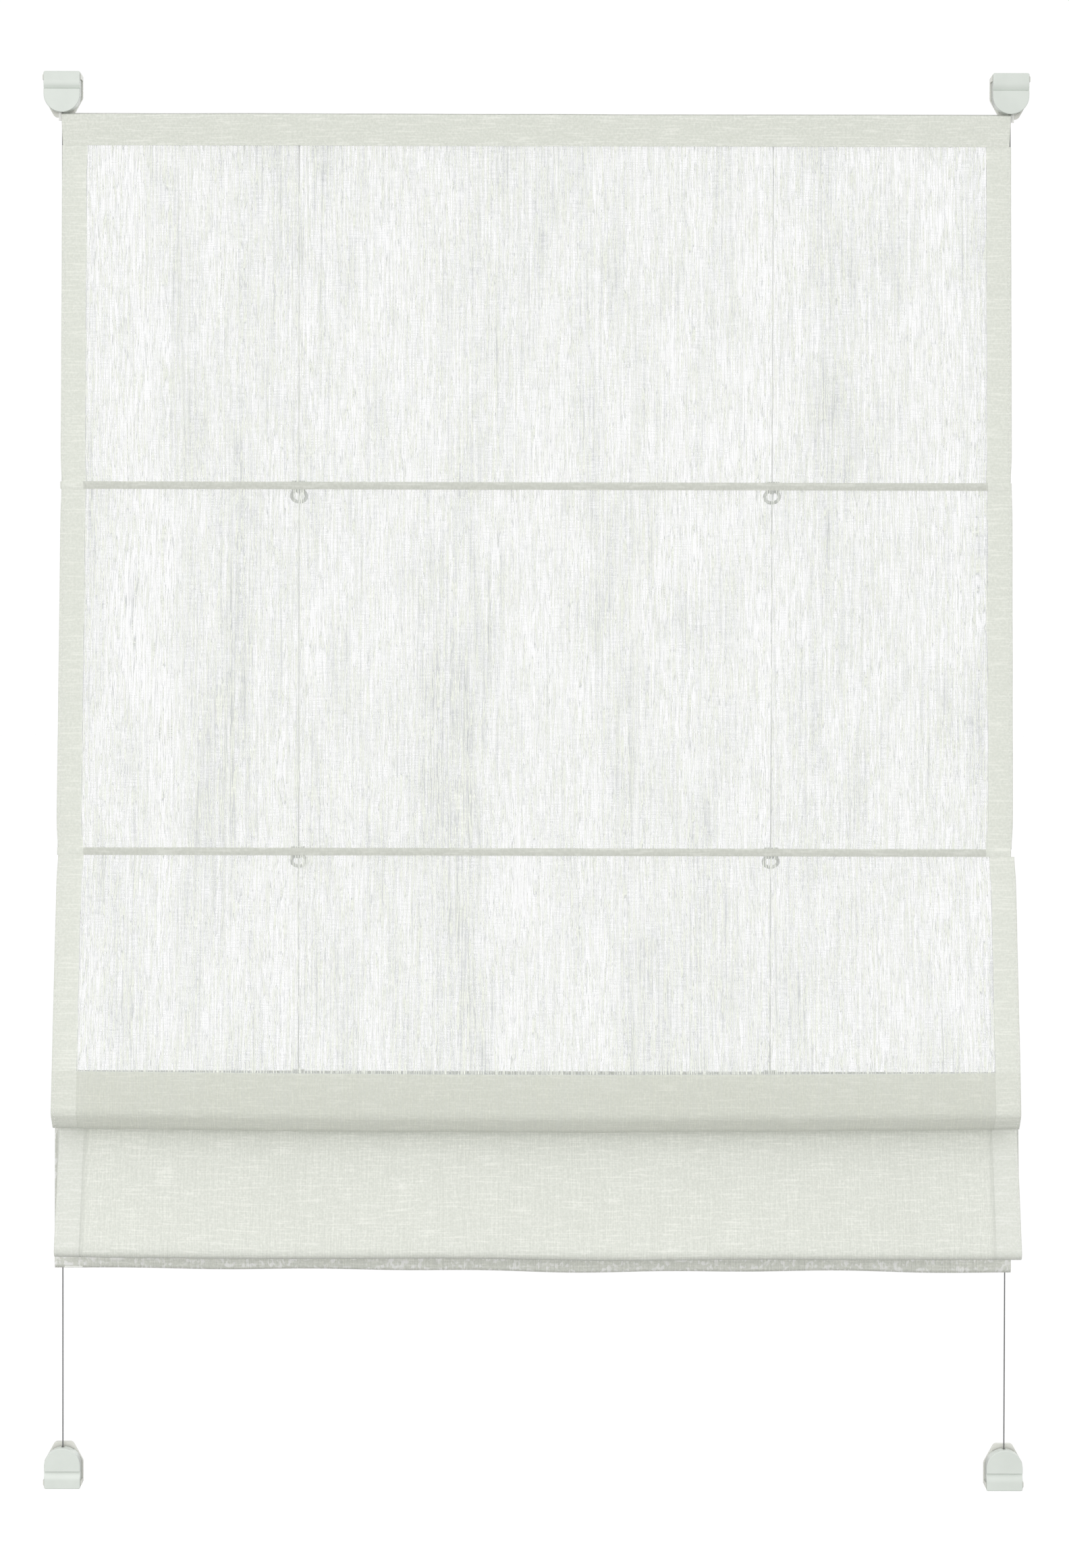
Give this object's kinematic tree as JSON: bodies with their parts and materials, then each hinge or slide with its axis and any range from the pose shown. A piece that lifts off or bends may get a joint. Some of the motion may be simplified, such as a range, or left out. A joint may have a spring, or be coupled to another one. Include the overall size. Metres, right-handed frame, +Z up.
{
  "type": "roman blind",
  "caption": "Sheer roman blind on taut side wires between clamps that grip a window sash, partly drawn up so that its lower panels hang in soft folds.",
  "frame": {"origin": "on the sash's top front edge, midway between the side wires", "axes": "+Z up along the sash, +Y from the room through the sash to the window, +X to the right as seen from the room"},
  "size_m": [0.8306, 0.0915, 1.198],
  "materials": {
    "bracket_plastic": "satin moulded nylon, slightly warm white",
    "cover_plastic": "satin moulded plastic, cool white",
    "hook_plastic": "satin moulded nylon",
    "shoe_plastic": "moulded nylon",
    "screw_steel": "zinc plated",
    "wire_steel": "dark drawn wire",
    "ferrule_metal": "crimped, dull",
    "spring_steel": "drawn wire",
    "rail_aluminium": "white coated extrusion",
    "cap_plastic": "moulded, white",
    "fastening_tape": "hook and loop tape, white",
    "fitting_plastic": "moulded, white",
    "cord_fibre": "braided polyester cord",
    "blind_cloth": "sheer off-white slub weave",
    "stay_rod": "drawn glass-fibre rod, off-white",
    "ring_plastic": "moulded, translucent white",
    "tip_plastic": "moulded, white",
    "bar_steel": "white coated flat bar"
  },
  "bodies": {
    "root": {"clamp_bottom_left_bracket": "bracket_plastic", "clamp_bottom_left_cover": "cover_plastic", "clamp_bottom_left_hook": "hook_plastic", "clamp_bottom_left_shoe": "shoe_plastic", "clamp_bottom_right_bracket": "bracket_plastic", "clamp_bottom_right_cover": "cover_plastic", "clamp_bottom_right_hook": "hook_plastic", "clamp_bottom_right_shoe": "shoe_plastic", "clamp_screws": "screw_steel", "clamp_top_left_bracket": "bracket_plastic", "clamp_top_left_cover": "cover_plastic", "clamp_top_left_hook": "hook_plastic", "clamp_top_left_shoe": "shoe_plastic", "clamp_top_right_bracket": "bracket_plastic", "clamp_top_right_cover": "cover_plastic", "clamp_top_right_hook": "hook_plastic", "clamp_top_right_shoe": "shoe_plastic", "cloth_head": "blind_cloth", "cloth_panel_1": "blind_cloth", "cord_cleat": "fitting_plastic", "cord_guides": "fitting_plastic", "head_rail": "rail_aluminium", "hook_tape": "fastening_tape", "lift_cords_1": "cord_fibre", "loop_tape": "fastening_tape", "rail_cap_left": "cap_plastic", "rail_cap_right": "cap_plastic", "rail_cords": "cord_fibre", "side_wire_left": "wire_steel", "side_wire_right": "wire_steel", "tension_springs": "spring_steel", "wire_ferrules": "ferrule_metal"},
    "stay_1": {"cloth_panel_2": "blind_cloth", "lift_cords_2": "cord_fibre", "stay_1_pocket": "blind_cloth", "stay_1_ring_clips": "ring_plastic", "stay_1_rod": "stay_rod", "stay_1_tips": "tip_plastic"},
    "stay_2": {"cloth_panel_3": "blind_cloth", "lift_cords_3": "cord_fibre", "stay_2_pocket": "blind_cloth", "stay_2_ring_clips": "ring_plastic", "stay_2_rod": "stay_rod", "stay_2_tips": "tip_plastic"},
    "stay_3": {"cloth_panel_4": "blind_cloth", "lift_cords_4": "cord_fibre", "stay_3_pocket": "blind_cloth", "stay_3_ring_clips": "ring_plastic", "stay_3_rod": "stay_rod", "stay_3_tips": "tip_plastic"},
    "stay_4": {"bottom_bar": "bar_steel", "bottom_bar_tips": "tip_plastic", "cloth_flap": "blind_cloth", "cord_stops": "ring_plastic", "stay_4_pocket": "blind_cloth", "stay_4_ring_clips": "ring_plastic", "stay_4_rod": "stay_rod", "stay_4_tips": "tip_plastic"}
  },
  "joints": [
    {"name": "stay_1_lift", "type": "slide", "parent": "root", "child": "stay_1", "axis": [0, 0, 1], "range_m": [0, 0.276], "deforming": ["cloth_panel_1", "lift_cords_1"]},
    {"name": "stay_2_lift", "type": "slide", "parent": "stay_1", "child": "stay_2", "axis": [0, 0, 1], "range_m": [0, 0.294], "deforming": ["cloth_panel_2", "lift_cords_2"]},
    {"name": "stay_3_lift", "type": "slide", "parent": "stay_2", "child": "stay_3", "axis": [0, 0, 1], "range_m": [-0.12, 0.174], "deforming": ["cloth_panel_3", "lift_cords_3"]},
    {"name": "stay_4_lift", "type": "slide", "parent": "stay_3", "child": "stay_4", "axis": [0, 0, 1], "range_m": [-0.022, 0], "deforming": ["cloth_panel_4", "lift_cords_4"]}
  ]
}
